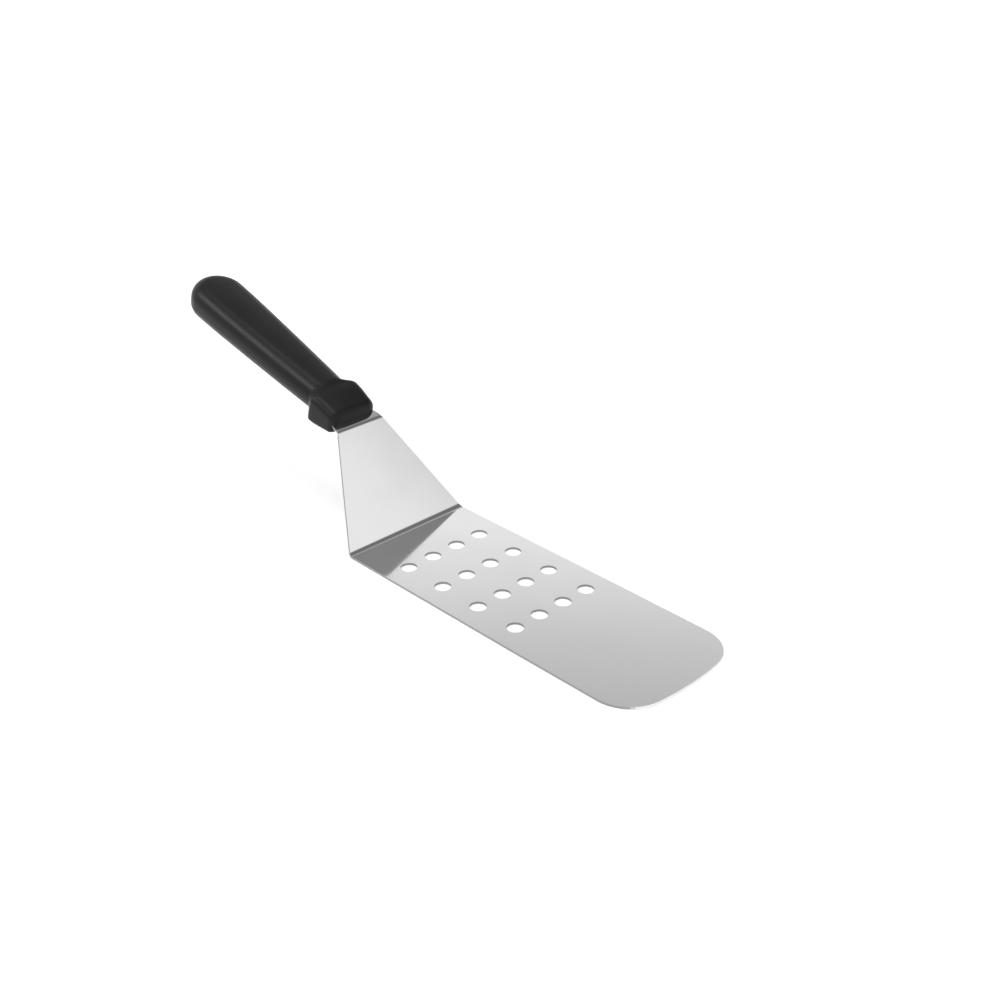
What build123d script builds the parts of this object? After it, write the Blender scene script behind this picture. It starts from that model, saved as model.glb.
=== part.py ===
"""Grill spatula: one bent, perforated stainless sheet and the plastic handle moulded onto its tang.

Frame: millimetres, +Z up. The origin is the middle of the blade's flat underside, the face it
rests on. +X runs towards the tip, and the spatula is symmetric about the XZ plane.
"""
from build123d import *
from math import atan, cos, radians, sin, sqrt, tan
import os

# Sheet: one piece of stainless steel, bent at the heel and again at the root of the tang
sheet_thickness = 1.2
blade_length = 189.0  # from the heel's corner, were it sharp, to the tip
blade_width = 76.0
tip_width = 75.0  # where the tip's bow would meet the sides
tip_taper_length = 70.0
tip_bow_radius = 148.0
tip_corner_radius = 20.0
neck_rise = 54.4  # degrees above the blade
neck_length = 60.6  # from bend to bend, along the middle of the sheet
neck_top_width = 29.2
handle_rise = 16.2  # degrees above the blade
heel_bend_radius = 4.2  # to the middle of the sheet
top_bend_radius = 2.6

# Drain holes: a rectangular pattern near the heel
hole_diameter = 8.5
hole_rows = 4
hole_columns = 4
hole_row_pitch = 25.0
hole_column_pitch = 16.0
first_row_from_heel = 29.7

# Tang: the sheet inside the handle. Distances run along it from the top bend
tang_root_width = 27.0
tang_root_end = 15.0
tang_width = 15.0
tang_end = 104.0
tang_corner_radius = 2.5
key_hole_diameter = 7.0
key_hole_distances = (52.0, 86.0)

# Handle. Distances run along its axis from the top bend
axis_above_tang = 0.7
grip_front = 24.0  # inside the guard
grip_front_width = 23.2
grip_front_thickness = 16.0
grip_middle = 76.0
grip_middle_width = 28.7
butt_start = 127.5
butt_width = 32.0
butt_end = 143.2
butt_thickness = 18.7
grip_edge_radius = 7.2
guard_front = 4.6
guard_front_width = 27.2
guard_front_thickness = 9.8
guard_shoulder = 22.0  # where the guard is widest
guard_shoulder_width = 30.0
guard_shoulder_thickness = 14.8
guard_back = 35.0  # inside the grip
guard_back_width = 17.6
guard_back_thickness = 14.0
guard_flare_radius = 20.0
guard_corner_radius = 3.2
guard_edge_radius = 2.4

heel_x = -blade_length / 2
tip_x = blade_length / 2
cutter_depth = 4.0
past_edge = 1.0  # how far cutting outlines run past the metal

# The bent sheet's middle line, from the heel's corner to the end of the tang
neck_direction = Vector(-cos(radians(neck_rise)), 0, sin(radians(neck_rise)))
tang_direction = Vector(-cos(radians(handle_rise)), 0, sin(radians(handle_rise)))
heel_inset = sheet_thickness / 2 * tan(radians(neck_rise / 2))
heel_corner = Vector(heel_x + heel_inset, 0, sheet_thickness / 2)
top_corner = heel_corner + neck_direction * neck_length
tang_tip = top_corner + tang_direction * tang_end

# Planes in the middle of the neck and of the tang, X along them and away from the blade
across = Vector(0, -1, 0)
neck_plane = Plane(origin=heel_corner, x_dir=neck_direction, z_dir=neck_direction.cross(across))
tang_plane = Plane(origin=top_corner, x_dir=tang_direction, z_dir=tang_direction.cross(across))

os.makedirs("parts", exist_ok=True)


# ---------------------------------------------------------------- blade, neck and tang
bow_depth = tip_bow_radius - sqrt(tip_bow_radius**2 - (tip_width / 2) ** 2)
taper = (blade_width - neck_top_width) / 2 / neck_length
root_drop = (neck_top_width - tang_root_width) / 2
root_fillet = root_drop / (1 - cos(atan(taper)))
root_fillet_end = root_fillet * sin(atan(taper))

with BuildPart() as blade:
    # The whole sheet at full width, bent twice
    with BuildSketch(Plane.XZ):
        with BuildLine():
            FilletPolyline(
                (tip_x, sheet_thickness / 2),
                (heel_corner.X, heel_corner.Z),
                (top_corner.X, top_corner.Z),
                (tang_tip.X, tang_tip.Z),
                radius=(heel_bend_radius, top_bend_radius),
            )
        trace(line_width=sheet_thickness)
    extrude(amount=blade_width / 2, both=True)

    # The tip narrows a little and is trimmed to a shallow bow with rounded corners
    with BuildSketch(Plane.XY) as blade_plan:
        with BuildLine():
            bow = ThreePointArc(
                (tip_x - bow_depth, -tip_width / 2),
                (tip_x, 0),
                (tip_x - bow_depth, tip_width / 2),
            )
            Polyline(
                bow @ 1,
                (tip_x - tip_taper_length, blade_width / 2),
                (tang_tip.X - past_edge, blade_width / 2),
                (tang_tip.X - past_edge, -blade_width / 2),
                (tip_x - tip_taper_length, -blade_width / 2),
                bow @ 0,
            )
        make_face()
        fillet(blade_plan.vertices().group_by(Axis.X)[-1], tip_corner_radius)
    extrude(amount=tang_tip.Z + cutter_depth, mode=Mode.INTERSECT)

    # The neck tapers from the heel to the top bend
    with BuildSketch(neck_plane):
        with Locations(((neck_length + past_edge) / 2, 0)):
            Rectangle(neck_length + past_edge, blade_width + 2 * past_edge)
        with BuildLine():
            Polyline(
                (0, blade_width / 2),
                (neck_length + past_edge, neck_top_width / 2 - taper * past_edge),
                (neck_length + past_edge, taper * past_edge - neck_top_width / 2),
                (0, -blade_width / 2),
                close=True,
            )
        make_face(mode=Mode.SUBTRACT)
    extrude(amount=cutter_depth, both=True, mode=Mode.SUBTRACT)

    # The tang leaves the taper in a wide fillet, then steps down to its slim part
    with BuildSketch(tang_plane):
        with Locations((tang_end / 2, 0)):
            Rectangle(tang_end + 2 * past_edge, blade_width + 2 * past_edge)
        with BuildLine():
            taper_start = (-past_edge, neck_top_width / 2 + taper * past_edge)
            Line((-past_edge, 0), taper_start)
            Line(taper_start, (0, neck_top_width / 2))
            RadiusArc((0, neck_top_width / 2), (root_fillet_end, tang_root_width / 2), root_fillet)
            FilletPolyline(
                (root_fillet_end, tang_root_width / 2),
                (tang_root_end, tang_root_width / 2),
                (tang_root_end, tang_width / 2),
                (tang_end, tang_width / 2),
                (tang_end, 0),
                radius=tang_corner_radius,
            )
            mirror(about=Plane.XZ)
        make_face(mode=Mode.SUBTRACT)
    extrude(amount=cutter_depth, both=True, mode=Mode.SUBTRACT)

    # Drain holes
    first_row_x = heel_x + first_row_from_heel
    with Locations((first_row_x + (hole_rows - 1) * hole_row_pitch / 2, 0, sheet_thickness)):
        with GridLocations(hole_row_pitch, hole_column_pitch, hole_rows, hole_columns):
            Hole(hole_diameter / 2, depth=cutter_depth)

    # Holes that key the tang into the handle
    with Locations(tang_plane):
        with Locations([(distance, 0, sheet_thickness) for distance in key_hole_distances]):
            Hole(key_hole_diameter / 2, depth=cutter_depth)

blade.part.label = "blade"
export_step(blade.part, "parts/blade.step")


# ---------------------------------------------------------------- handle, moulded onto the tang
grip_start = top_corner + tang_plane.z_dir * axis_above_tang
grip_plane = Plane(origin=grip_start, x_dir=tang_direction, z_dir=tang_plane.z_dir)
side_plane = Plane(origin=grip_start, x_dir=tang_direction, z_dir=across)

with BuildPart() as guard:
    # A collar over the root of the tang: in plan it widens to a shoulder, then flares into the grip
    with BuildSketch(grip_plane) as guard_plan:
        with BuildLine():
            Polyline(
                (guard_front, 0),
                (guard_front, guard_front_width / 2),
                (guard_shoulder, guard_shoulder_width / 2),
            )
            flare = RadiusArc(
                (guard_shoulder, guard_shoulder_width / 2),
                (guard_back, guard_back_width / 2),
                -guard_flare_radius,
            )
            Line(flare @ 1, (guard_back, 0))
            mirror(about=Plane.XZ)
        make_face()
        corners = guard_plan.vertices().sort_by(Axis.X)[0:4]
        fillet(corners, guard_corner_radius)
    extrude(amount=guard_shoulder_thickness, both=True)

    # From the side it rises from the front in one sweep
    with BuildSketch(side_plane):
        with BuildLine():
            sweep_up = ThreePointArc(
                (guard_front, guard_front_thickness / 2),
                (guard_shoulder, guard_shoulder_thickness / 2),
                (guard_back, guard_back_thickness / 2),
            )
            Line((guard_front, 0), sweep_up @ 0)
            Line(sweep_up @ 1, (guard_back, 0))
            mirror(about=Plane.XZ)
        make_face()
    extrude(amount=guard_shoulder_width, both=True, mode=Mode.INTERSECT)
    broad_sides = guard.faces().sort_by(Axis(grip_start, grip_plane.z_dir))
    back_edges = guard.edges().sort_by(Axis(grip_start, tang_direction))[-4:]
    fillet(broad_sides[0].edges() + broad_sides[-1].edges() - back_edges, guard_edge_radius)

with BuildPart() as handle:
    # The grip's plan: sides that swell towards a half-elliptical butt
    with BuildSketch(grip_plane):
        with BuildLine():
            side = Spline(
                (grip_front, grip_front_width / 2),
                (grip_middle, grip_middle_width / 2),
                (butt_start, butt_width / 2),
                tangents=((1, 0.06), (1, 0)),
            )
            EllipticalCenterArc((butt_start, 0), butt_end - butt_start, butt_width / 2, arc_size=90)
            Line(side @ 0, (grip_front, 0))
            mirror(about=Plane.XZ)
        make_face()
    extrude(amount=butt_thickness, both=True)

    # Its thickness grows evenly towards the butt
    with BuildSketch(side_plane):
        with BuildLine():
            Polyline(
                (grip_front, grip_front_thickness / 2),
                (butt_end, butt_thickness / 2),
                (butt_end, -butt_thickness / 2),
                (grip_front, -grip_front_thickness / 2),
                close=True,
            )
        make_face()
    extrude(amount=butt_width, both=True, mode=Mode.INTERSECT)
    broad_faces = handle.faces().sort_by(Axis(grip_start, grip_plane.z_dir))
    front_edges = handle.edges().sort_by(Axis(grip_start, tang_direction))[0:4]
    rims = broad_faces[0].edges() + broad_faces[-1].edges()
    fillet(rims - front_edges, grip_edge_radius)

    # One moulding with the guard; its plastic fills the space around the tang and its key holes
    add(guard.part)
    add(blade.part, mode=Mode.SUBTRACT)

handle.part.label = "handle"
export_step(handle.part, "parts/handle.step")
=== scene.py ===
"""Grill spatula: a satin stainless sheet with drain holes, and a black moulded handle.

Everything is in metres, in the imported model's frame: the blade's underside lies on z = 0, its
tip points along +X, and the spatula is symmetric about the XZ plane.
"""
import bmesh
import bpy
from math import cos, exp, hypot, log, pi, radians, sin, sqrt
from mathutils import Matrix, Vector


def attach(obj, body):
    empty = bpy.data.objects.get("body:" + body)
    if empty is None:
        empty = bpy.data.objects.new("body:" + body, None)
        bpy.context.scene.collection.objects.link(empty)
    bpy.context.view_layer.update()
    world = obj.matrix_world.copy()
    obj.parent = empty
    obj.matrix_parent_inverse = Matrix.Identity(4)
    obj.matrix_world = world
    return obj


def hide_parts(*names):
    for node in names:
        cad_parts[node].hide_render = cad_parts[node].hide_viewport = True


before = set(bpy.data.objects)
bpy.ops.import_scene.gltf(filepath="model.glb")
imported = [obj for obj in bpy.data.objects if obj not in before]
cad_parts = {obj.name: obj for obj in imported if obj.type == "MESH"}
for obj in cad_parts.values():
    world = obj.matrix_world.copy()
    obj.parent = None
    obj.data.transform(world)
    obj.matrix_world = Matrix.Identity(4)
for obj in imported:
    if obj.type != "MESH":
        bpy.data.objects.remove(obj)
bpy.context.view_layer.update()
scene = bpy.context.scene


# ---------------------------------------------------------------- camera
CAMERA_TARGET = Vector((-0.0240, -0.0006, 0.0461))
CAMERA_DISTANCE = 0.6463
CAMERA_AZIMUTH = 45.85  # degrees round from -Y towards +X
CAMERA_ELEVATION = 28.23
CAMERA_LENS = 49.2  # mm, on the default 36 mm sensor


def towards(azimuth, elevation):
    """Unit vector from the spatula, azimuth in degrees round from -Y towards +X."""
    a, e = radians(azimuth), radians(elevation)
    return Vector((sin(a) * cos(e), -cos(a) * cos(e), sin(e)))


def make_camera():
    back = towards(CAMERA_AZIMUTH, CAMERA_ELEVATION)
    camera = bpy.data.objects.new("camera", bpy.data.cameras.new("camera"))
    camera.data.lens = CAMERA_LENS
    camera.data.clip_start = 0.01
    camera.data.clip_end = 50
    camera.location = CAMERA_TARGET + back * CAMERA_DISTANCE
    camera.rotation_mode = "QUATERNION"
    camera.rotation_quaternion = (-back).to_track_quat("-Z", "Y")
    scene.collection.objects.link(camera)
    scene.camera = camera


make_camera()


# ---------------------------------------------------------------- studio
FLOOR_SIZE = 30.0
FLOOR_GAP = 0.0002  # the floor lies just under the blade
FLOOR_ALBEDO = 0.64
FLOOR_GLOW = 0.42  # the floor gives some light of its own, which keeps the shadows faint

# The studio's walls, as brightness against height (the sine of the elevation)
BACKDROP = (
    (0.0, 1.0), (0.49, 1.0), (0.52, 0.88), (0.56, 0.69),
    (0.60, 0.58), (0.68, 0.48), (0.73, 0.42), (0.77, 0.33),
)
GAP_LEVEL = 0.19  # between the backdrop and the side panel
SIDE_LEVEL = 1.02
LEFT_LEVEL = 0.12  # low down at the left, where the room is dark
CEILING_LEVEL = 3.2

# Where each panel fades in or out: azimuths in degrees from +X towards +Y, heights as in BACKDROP
BACKDROP_STARTS = (101, 116)
BACKDROP_ENDS = (-175, -140)
BACKDROP_FOOT = (0.30, 0.48)  # below this height it runs all round
SIDE_ENDS = (38, 54)
LEFT_STARTS = (-172, -150)
LEFT_ENDS = (-90, -62)
LEFT_TOP = (0.30, 0.60)
CEILING_RIM = (0.88, 0.97)

KEY_AZIMUTH = -40
KEY_ELEVATION = 39
KEY_DISTANCE = 1.6
KEY_SIZE = (0.8, 0.4)
KEY_POWER = 6  # watts


class Nodes:
    """A node tree with short ways to add nodes and join them."""

    def __init__(self, owner):
        self.tree = owner.node_tree

    def add(self, kind, *inputs, **settings):
        """A node whose sockets take values, or links from other sockets; None leaves one alone."""
        node = self.tree.nodes.new(kind)
        for name, value in settings.items():
            setattr(node, name, value)
        for socket, value in zip(node.inputs, inputs):
            self.give(socket, value)
        return node

    def give(self, socket, value):
        if isinstance(value, bpy.types.NodeSocket):
            self.tree.links.new(value, socket)
        elif value is not None:
            socket.default_value = value

    def math(self, operation, *inputs):
        return self.add("ShaderNodeMath", *inputs, operation=operation).outputs[0]

    def step(self, value, start, end, low=0.0, high=1.0):
        """Smooth step from low at start to high at end."""
        node = self.add("ShaderNodeMapRange", value, start, end, low, high, interpolation_type="SMOOTHSTEP")
        return node.outputs[0]

    def ramp(self, value, stops):
        """A grey ramp of (position, level) stops."""
        node = self.add("ShaderNodeValToRGB", value)
        node.color_ramp.interpolation = "LINEAR"
        elements = node.color_ramp.elements
        while len(elements) < len(stops):
            elements.new(0.5)
        for element, (position, level) in zip(elements, stops):
            element.position = position
            element.color = (level, level, level, 1)
        return node.outputs[0]

    def noise(self, vector, scale, detail=2.0, roughness=0.5):
        node = self.add("ShaderNodeTexNoise", vector, noise_dimensions="3D")
        node.inputs["Scale"].default_value = scale
        node.inputs["Detail"].default_value = detail
        node.inputs["Roughness"].default_value = roughness
        return node.outputs[0]

    def stretched(self, vector, scale):
        node = self.add("ShaderNodeMapping", vector)
        node.inputs["Scale"].default_value = scale
        return node.outputs[0]


def make_floor():
    material = bpy.data.materials.new("studio_floor")
    material.use_nodes = True
    shader = material.node_tree.nodes["Principled BSDF"]
    shader.inputs["Base Color"].default_value = (FLOOR_ALBEDO, FLOOR_ALBEDO, FLOOR_ALBEDO, 1)
    shader.inputs["Roughness"].default_value = 0.9
    shader.inputs["Emission Color"].default_value = (1, 1, 1, 1)
    shader.inputs["Emission Strength"].default_value = FLOOR_GLOW
    shader.inputs["Specular IOR Level"].default_value = 0.1
    half = FLOOR_SIZE / 2
    corners = [(x, y, -FLOOR_GAP) for x, y in ((-half, -half), (half, -half), (half, half), (-half, half))]
    mesh = bpy.data.meshes.new("floor")
    mesh.from_pydata(corners, [], [(0, 1, 2, 3)])
    floor = bpy.data.objects.new("floor", mesh)
    floor.data.materials.append(material)
    scene.collection.objects.link(floor)


def make_sky():
    """A white studio: a backdrop that greys with height, side panels, dark gaps, a ceiling."""
    world = bpy.data.worlds.new("studio")
    world.use_nodes = True
    scene.world = world
    nodes = Nodes(world)
    background = nodes.tree.nodes["Background"]
    place = nodes.add("ShaderNodeTexCoord")
    split = nodes.add("ShaderNodeSeparateXYZ", place.outputs["Generated"])
    x, y, height = split.outputs
    azimuth = nodes.math("DEGREES", nodes.math("ARCTAN2", y, x))  # round from +X towards +Y
    wall = nodes.ramp(height, BACKDROP)
    past_backdrop = nodes.step(azimuth, *BACKDROP_ENDS)
    starts = nodes.step(azimuth, *BACKDROP_STARTS)
    foot = nodes.step(height, *BACKDROP_FOOT, 1.0, 0.0)
    backdrop_mask = nodes.math("ADD", starts, nodes.math("SUBTRACT", 1.0, past_backdrop))
    backdrop_mask = nodes.math("MAXIMUM", backdrop_mask, foot)
    backdrop = nodes.math("MULTIPLY", wall, backdrop_mask)
    side_mask = nodes.math("MULTIPLY", past_backdrop, nodes.step(azimuth, *SIDE_ENDS, 1.0, 0.0))
    left_starts = nodes.step(azimuth, *LEFT_STARTS)
    left = nodes.math("MULTIPLY", left_starts, nodes.step(azimuth, *LEFT_ENDS, 1.0, 0.0))
    left = nodes.math("MULTIPLY", left, nodes.step(height, *LEFT_TOP, 1.0 - LEFT_LEVEL, 0.0))
    side_mask = nodes.math("MULTIPLY", side_mask, nodes.math("SUBTRACT", 1.0, left))
    side = nodes.math("MULTIPLY", side_mask, SIDE_LEVEL)
    ceiling = nodes.step(height, *CEILING_RIM, 0.0, CEILING_LEVEL)
    walls = nodes.math("MAXIMUM", backdrop, side)
    level = nodes.math("MAXIMUM", walls, nodes.math("MAXIMUM", ceiling, GAP_LEVEL))
    grey = nodes.add("ShaderNodeCombineColor", level, level, level)
    nodes.give(background.inputs["Color"], grey.outputs[0])


def make_softbox(name, azimuth, elevation, distance, size, power):
    lamp = bpy.data.lights.new(name, "AREA")
    lamp.shape = "RECTANGLE"
    lamp.size, lamp.size_y = size
    lamp.energy = power
    box = bpy.data.objects.new(name, lamp)
    back = towards(azimuth, elevation)
    box.location = CAMERA_TARGET + back * distance
    box.rotation_mode = "QUATERNION"
    box.rotation_quaternion = back.to_track_quat("Z", "Y")
    scene.collection.objects.link(box)


scene.view_settings.view_transform = "Standard"
make_floor()
make_sky()
make_softbox("key_softbox", KEY_AZIMUTH, KEY_ELEVATION, KEY_DISTANCE, KEY_SIZE, KEY_POWER)


# ---------------------------------------------------------------- materials
STEEL_TINT = 0.79
PUNCHED_HEIGHT = 0.0013  # the box that holds the drain holes' walls
PUNCHED_HALF_WIDTH = 0.034
PUNCHED_END = 0.040
GRAIN_STRETCH = (8, 1500, 8)  # long along X, fine across
HAIR_STRETCH = (60, 1900, 60)
HAIR_ANGLE = radians(34)
SMUDGE_SCALE = 34
STEEL_ROUGHNESS = (0.05, 0.08)
SMUDGE_ROUGHNESS = 0.03
HAIR_ROUGHNESS = 0.06
CUT_ROUGHNESS = 0.3
CUT_AND_SHADE_TINT = 0.33  # the share of the tint that a cut edge keeps: a duller cut finish, darkened further with painted shade
SIDE_CUT_AND_SHADE = 0.8  # how much of the cut finish and painted edge shade the sheet's side edges show
COOL_CAST = 1.004


def satin_steel():
    """Stainless sheet: a fine grain along its length, hairline scratches, smudges, dull cut edges darkened
    with painted shade.
    """
    material = bpy.data.materials.new("satin_steel")
    material.use_nodes = True
    nodes = Nodes(material)
    shader = nodes.tree.nodes["Principled BSDF"]
    shader.inputs["Metallic"].default_value = 1
    place = nodes.add("ShaderNodeTexCoord").outputs["Object"]
    grain = nodes.noise(nodes.stretched(place, GRAIN_STRETCH), 1.0, 3.0, 0.6)
    smudges = nodes.noise(place, SMUDGE_SCALE, 4.0, 0.6)
    turned = nodes.add("ShaderNodeMapping", place)
    turned.inputs["Rotation"].default_value = (0, 0, HAIR_ANGLE)
    hairs = nodes.noise(nodes.stretched(turned.outputs[0], HAIR_STRETCH), 1.0, 0.0)
    hairs = nodes.step(hairs, 0.80, 0.88)
    polish = nodes.step(grain, 0.3, 0.7, *STEEL_ROUGHNESS)
    polish = nodes.math("ADD", polish, nodes.step(smudges, 0.4, 0.7, 0.0, SMUDGE_ROUGHNESS))
    polish = nodes.math("ADD", polish, nodes.math("MULTIPLY", hairs, HAIR_ROUGHNESS))
    tint = nodes.step(grain, 0.25, 0.75, STEEL_TINT - 0.008, STEEL_TINT + 0.008)
    tint = nodes.math("SUBTRACT", tint, nodes.step(smudges, 0.4, 0.7, 0.0, 0.015))
    # The walls of the holes and the sheet's side edges keep the rougher, torn finish of the press, and their
    # colour is darkened with painted shade
    normal = nodes.add("ShaderNodeSeparateXYZ", nodes.add("ShaderNodeNewGeometry").outputs["True Normal"])
    spot = nodes.add("ShaderNodeSeparateXYZ", place)
    height = spot.outputs[2]
    upright = nodes.step(nodes.math("ABSOLUTE", normal.outputs[2]), 0.5, 0.2)
    punched = nodes.math("MULTIPLY", upright, nodes.math("LESS_THAN", height, PUNCHED_HEIGHT))
    away = nodes.math("ABSOLUTE", spot.outputs[1])
    punched = nodes.math("MULTIPLY", punched, nodes.math("LESS_THAN", away, PUNCHED_HALF_WIDTH))
    punched = nodes.math("MULTIPLY", punched, nodes.math("LESS_THAN", spot.outputs[0], PUNCHED_END))
    side = nodes.step(nodes.math("ABSOLUTE", normal.outputs[1]), 0.5, 0.8, 0.0, SIDE_CUT_AND_SHADE)
    cut_and_shade = nodes.math("MAXIMUM", punched, side)
    polish = nodes.math("ADD", polish, nodes.math("MULTIPLY", cut_and_shade, CUT_ROUGHNESS))
    # painted shade: the hole walls and side edges lose most of their tint, more than a duller cut finish
    # alone would
    tint = nodes.math("MULTIPLY", tint, nodes.step(cut_and_shade, 0.0, 1.0, 1.0, CUT_AND_SHADE_TINT))
    nodes.give(shader.inputs["Roughness"], polish)
    cool = nodes.math("MULTIPLY", tint, COOL_CAST)
    nodes.give(shader.inputs["Base Color"], nodes.add("ShaderNodeCombineColor", tint, tint, cool).outputs[0])
    bump = nodes.add("ShaderNodeBump")
    bump.inputs["Strength"].default_value = 0.25
    bump.inputs["Distance"].default_value = 0.000002
    nodes.give(bump.inputs["Height"], grain)
    nodes.give(shader.inputs["Normal"], bump.outputs[0])
    return material


PIT_SCALE = 2600
PIT_DEPTH = 0.00004
WEAR_SCALE = 60
POLYMER_GREY = (0.0040, 0.0052)
POLYMER_ROUGHNESS = (0.35, 0.41)
POLYMER_SHINE = 0.22


def black_polymer():
    """Moulded polypropylene: a low sheen broken by a fine spark-eroded texture."""
    material = bpy.data.materials.new("black_polymer")
    material.use_nodes = True
    nodes = Nodes(material)
    shader = nodes.tree.nodes["Principled BSDF"]
    place = nodes.add("ShaderNodeTexCoord").outputs["Object"]
    pits = nodes.noise(place, PIT_SCALE, 2.0, 0.5)
    wear = nodes.noise(place, WEAR_SCALE, 3.0, 0.5)
    level = nodes.step(wear, 0.3, 0.75, *POLYMER_GREY)
    grey = nodes.add("ShaderNodeCombineColor", level, level, level)
    nodes.give(shader.inputs["Base Color"], grey.outputs[0])
    nodes.give(shader.inputs["Roughness"], nodes.step(wear, 0.3, 0.75, *POLYMER_ROUGHNESS))
    shader.inputs["Specular IOR Level"].default_value = POLYMER_SHINE
    bump = nodes.add("ShaderNodeBump")
    bump.inputs["Strength"].default_value = 0.35
    bump.inputs["Distance"].default_value = PIT_DEPTH
    nodes.give(bump.inputs["Height"], pits)
    nodes.give(shader.inputs["Normal"], bump.outputs[0])
    return material


# ---------------------------------------------------------------- handle
# Millimetres in the handle's own frame: distances run along its axis from the sheet's top bend
HANDLE_RISE = radians(16.2)
HANDLE_START = Vector((-129.273, 0, 50.546))
HANDLE_ALONG = Vector((-cos(HANDLE_RISE), 0, sin(HANDLE_RISE)))
HANDLE_UP = Vector((sin(HANDLE_RISE), 0, cos(HANDLE_RISE)))
HANDLE_ACROSS = Vector((0, 1, 0))
GUARD_FRONT = 4.6
GUARD_FRONT_HALF_WIDTH = 14.3
GUARD_SPREAD = 0.075  # how fast it widens to the shoulder
SHOULDER = 24.0
FLARE = 3.6  # how far the shoulder stands out from the grip
FLARE_END = 28.5
FLARE_POWER = 1.4
SHOULDER_SOFTNESS = 0.7
FRONT_HALF_THICKNESS = 5.4
FRONT_RISE = 0.175
LIP_RADIUS = 3.8
GRIP_FRONT = 24.0
GRIP_MIDDLE = 76.0
BUTT_START = 127.5
BUTT_END = 143.2
HALF_WIDTHS = (11.6, 14.35, 16.0)  # at the front, the middle and the butt
FRONT_SLOPE = 0.06  # how fast the half width grows there
MIDDLE_SLOPE = 0.044
HALF_THICKNESS = 8.0
THICKENING = 0.01116  # how fast the half thickness grows towards the butt
THICKNESS_SOFTNESS = 0.25
GRIP_EDGE = 7.2
GRIP_CROWN = 1.8
GUARD_CROWN = 0.5
CROWN_LIFT = 0.6  # the share of the crown that stands above the plain thickness
SIDE_FLAT = 0.05  # the least height left, above and below the middle, where the two sides meet
GUARD_EDGE = 4.2
GUARD_LOWER_EDGE = 2.4
GUARD_SAG = 0.7  # how much lower the guard's underside is than its top is high
COLUMNS = 56
LIP_STEPS = 6
GUARD_STEPS = 56
GUARD_RUN = 16  # how far past the grip's front the close stations go on
GRIP_STEPS = 44
BUTT_STEPS = 30
LAST_STATION = 0.0005  # before the butt's very end
MILLIMETRES = 1000  # in a metre
WELD = 2e-5  # metres
TANG_WELD = 2e-6
SHARP_ANGLE = radians(50)


def smooth(value, start, end):
    t = min(max((value - start) / (end - start), 0.0), 1.0)
    return t * t * (3 - 2 * t)


def lesser(a, b, softness):
    """The smaller of two values, with the corner between them rounded."""
    return -softness * log(exp(-a / softness) + exp(-b / softness))


def hermite(s, start, end, low, high, low_slope, high_slope):
    """A cubic from low to high with given slopes at its two ends."""
    length = end - start
    t = (s - start) / length
    rise = high - low
    bend_low = low_slope * length - rise
    bend_high = rise - high_slope * length
    return low + t * rise + t * (1 - t) * ((1 - t) * bend_low + t * bend_high)


def grip_half_width(s):
    """Half the grip's width at a station before the butt, without the guard."""
    front, middle, butt = HALF_WIDTHS
    if s < GRIP_MIDDLE:
        return hermite(s, GRIP_FRONT, GRIP_MIDDLE, front, middle, FRONT_SLOPE, MIDDLE_SLOPE)
    return hermite(min(s, BUTT_START), GRIP_MIDDLE, BUTT_START, middle, butt, MIDDLE_SLOPE, 0.0)


def half_width(s):
    """Half the handle's width at any station."""
    if s > BUTT_START:
        return HALF_WIDTHS[2] * sqrt(max(1 - ((s - BUTT_START) / (BUTT_END - BUTT_START)) ** 2, 0.0))
    if s > FLARE_END:
        return grip_half_width(s)
    flare = FLARE * ((FLARE_END - s) / (FLARE_END - SHOULDER)) ** FLARE_POWER
    flank = GUARD_FRONT_HALF_WIDTH + GUARD_SPREAD * (s - GUARD_FRONT)
    return lesser(grip_half_width(max(s, GRIP_FRONT)) + flare, flank, SHOULDER_SOFTNESS)


def half_thickness(s):
    """Half the handle's thickness at any station, without its crown."""
    grip = HALF_THICKNESS + THICKENING * (s - GRIP_FRONT)
    guard = FRONT_HALF_THICKNESS + FRONT_RISE * (s - GUARD_FRONT)
    return lesser(grip, guard, THICKNESS_SOFTNESS)


def section(s):
    """The handle's outline at a station: (across, up) points, over the top and back under."""
    width = half_width(s)
    thickness = half_thickness(s)
    inset = s - GUARD_FRONT
    if inset < LIP_RADIUS:
        inset = LIP_RADIUS - sqrt(LIP_RADIUS**2 - (LIP_RADIUS - inset) ** 2)
        width -= inset
        thickness -= inset
    in_grip = smooth(s, SHOULDER, FLARE_END + 1)
    upper_edge = GUARD_EDGE + (GRIP_EDGE - GUARD_EDGE) * in_grip
    lower_edge = GUARD_LOWER_EDGE + (GRIP_EDGE - GUARD_LOWER_EDGE) * in_grip
    crown = GUARD_CROWN + (GRIP_CROWN - GUARD_CROWN) * in_grip
    if s > BUTT_START:
        crown *= 1 - ((s - BUTT_START) / (BUTT_END - BUTT_START)) ** 2
    thickness += CROWN_LIFT * crown
    top = surface(s, width, thickness, upper_edge, crown)
    thickness += GUARD_SAG * (1 - in_grip)
    under = surface(s, width, thickness, lower_edge, crown)
    return top + [(across, -up) for across, up in reversed(under)]


def surface(s, width, thickness, edge, crown):
    """One broad side of the section, from edge to edge, with its edges rounded over."""
    edge = min(edge, 0.8 * thickness)
    crown = min(crown, thickness - edge - SIDE_FLAT)
    points = []
    for column in range(COLUMNS + 1):
        across = sin(pi * (column / COLUMNS - 0.5))
        from_edge = width * (1 - abs(across))
        if s > BUTT_START:
            reach = (s - BUTT_START) / (BUTT_END - BUTT_START)
            from_edge = HALF_WIDTHS[2] * (1 - hypot(reach, width * across / HALF_WIDTHS[2]))
        depth = min(max(from_edge, 0.0), edge)
        up = thickness - edge + sqrt(edge**2 - (edge - depth) ** 2) - crown * across**2
        points.append((width * across, up))
    return points


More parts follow.
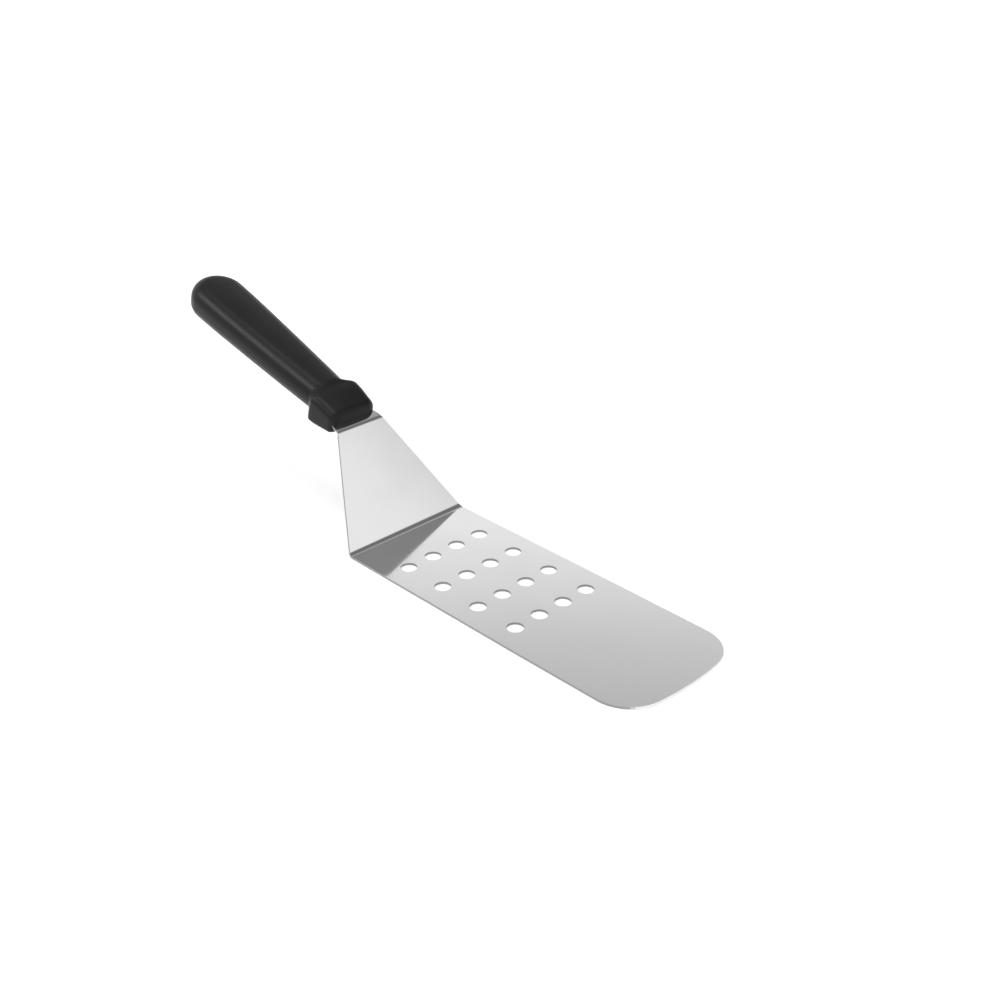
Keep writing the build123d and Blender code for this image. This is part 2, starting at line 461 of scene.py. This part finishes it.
def stations():
    """Along the handle: close together round the lip, the shoulder and the butt."""
    lip = [GUARD_FRONT + LIP_RADIUS * (1 - cos(pi / 2 * i / LIP_STEPS)) for i in range(LIP_STEPS + 1)]
    run = GRIP_FRONT + GUARD_RUN - lip[-1]
    guard = [lip[-1] + run * i / GUARD_STEPS for i in range(1, GUARD_STEPS + 1)]
    run = BUTT_START - guard[-1]
    grip = [guard[-1] + run * i / GRIP_STEPS for i in range(1, GRIP_STEPS + 1)]
    run = BUTT_END - BUTT_START
    butt = [BUTT_START + run * sin(pi / 2 * i / BUTT_STEPS) for i in range(1, BUTT_STEPS)]
    return lip + guard + grip + butt + [BUTT_END - LAST_STATION]


def cut_pocket(piece):
    """Hollow the moulding where the tang runs through it; its key holes stay full of plastic."""
    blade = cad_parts["blade"]
    work = bmesh.new()
    work.from_mesh(blade.data)
    bmesh.ops.remove_doubles(work, verts=work.verts, dist=TANG_WELD)
    mesh = bpy.data.meshes.new("tang")
    work.to_mesh(mesh)
    work.free()
    tang = bpy.data.objects.new("tang", mesh)
    tang.matrix_world = blade.matrix_world
    scene.collection.objects.link(tang)
    pocket = piece.modifiers.new("pocket", "BOOLEAN")
    pocket.operation = "DIFFERENCE"
    pocket.solver = "EXACT"
    pocket.object = tang
    hollow = bpy.data.meshes.new_from_object(piece.evaluated_get(bpy.context.evaluated_depsgraph_get()))
    piece.modifiers.clear()
    piece.data = hollow
    hollow.set_sharp_from_angle(angle=SHARP_ANGLE)
    bpy.data.objects.remove(tang)
    bpy.data.meshes.remove(mesh)


def make_handle(material):
    """Skin the sections into one closed moulding, then hollow it for the tang."""
    work = bmesh.new()
    rings = []
    for s in stations():
        middle = HANDLE_START + HANDLE_ALONG * s
        ring = [middle + HANDLE_ACROSS * across + HANDLE_UP * up for across, up in section(s)]
        rings.append([work.verts.new(point / MILLIMETRES) for point in ring])
    count = len(rings[0])
    for near, far in zip(rings, rings[1:]):
        for i in range(count):
            j = (i + 1) % count
            work.faces.new((near[i], near[j], far[j], far[i]))
    work.faces.new(rings[0])
    work.faces.new(rings[-1])
    bmesh.ops.remove_doubles(work, verts=work.verts, dist=WELD)
    bmesh.ops.recalc_face_normals(work, faces=work.faces)
    for face in work.faces:
        face.smooth = True
    mesh = bpy.data.meshes.new("handle_moulding")
    work.to_mesh(mesh)
    work.free()
    mesh.materials.append(material)
    piece = bpy.data.objects.new("handle_moulding", mesh)
    scene.collection.objects.link(piece)
    cut_pocket(piece)
    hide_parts("handle")
    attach(piece, "root")


make_handle(black_polymer())


# ---------------------------------------------------------------- blade
EDGE_BREAK = 0.0003


def finish_blade(material):
    """Give the sheet its steel and take the sharpness off its edges."""
    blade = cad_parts["blade"]
    blade.data.materials.clear()
    blade.data.materials.append(material)
    bevel = blade.modifiers.new("broken_edges", "BEVEL")
    bevel.width = EDGE_BREAK
    bevel.segments = 2
    bevel.limit_method = "ANGLE"
    bevel.angle_limit = SHARP_ANGLE
    bevel.harden_normals = True


finish_blade(satin_steel())
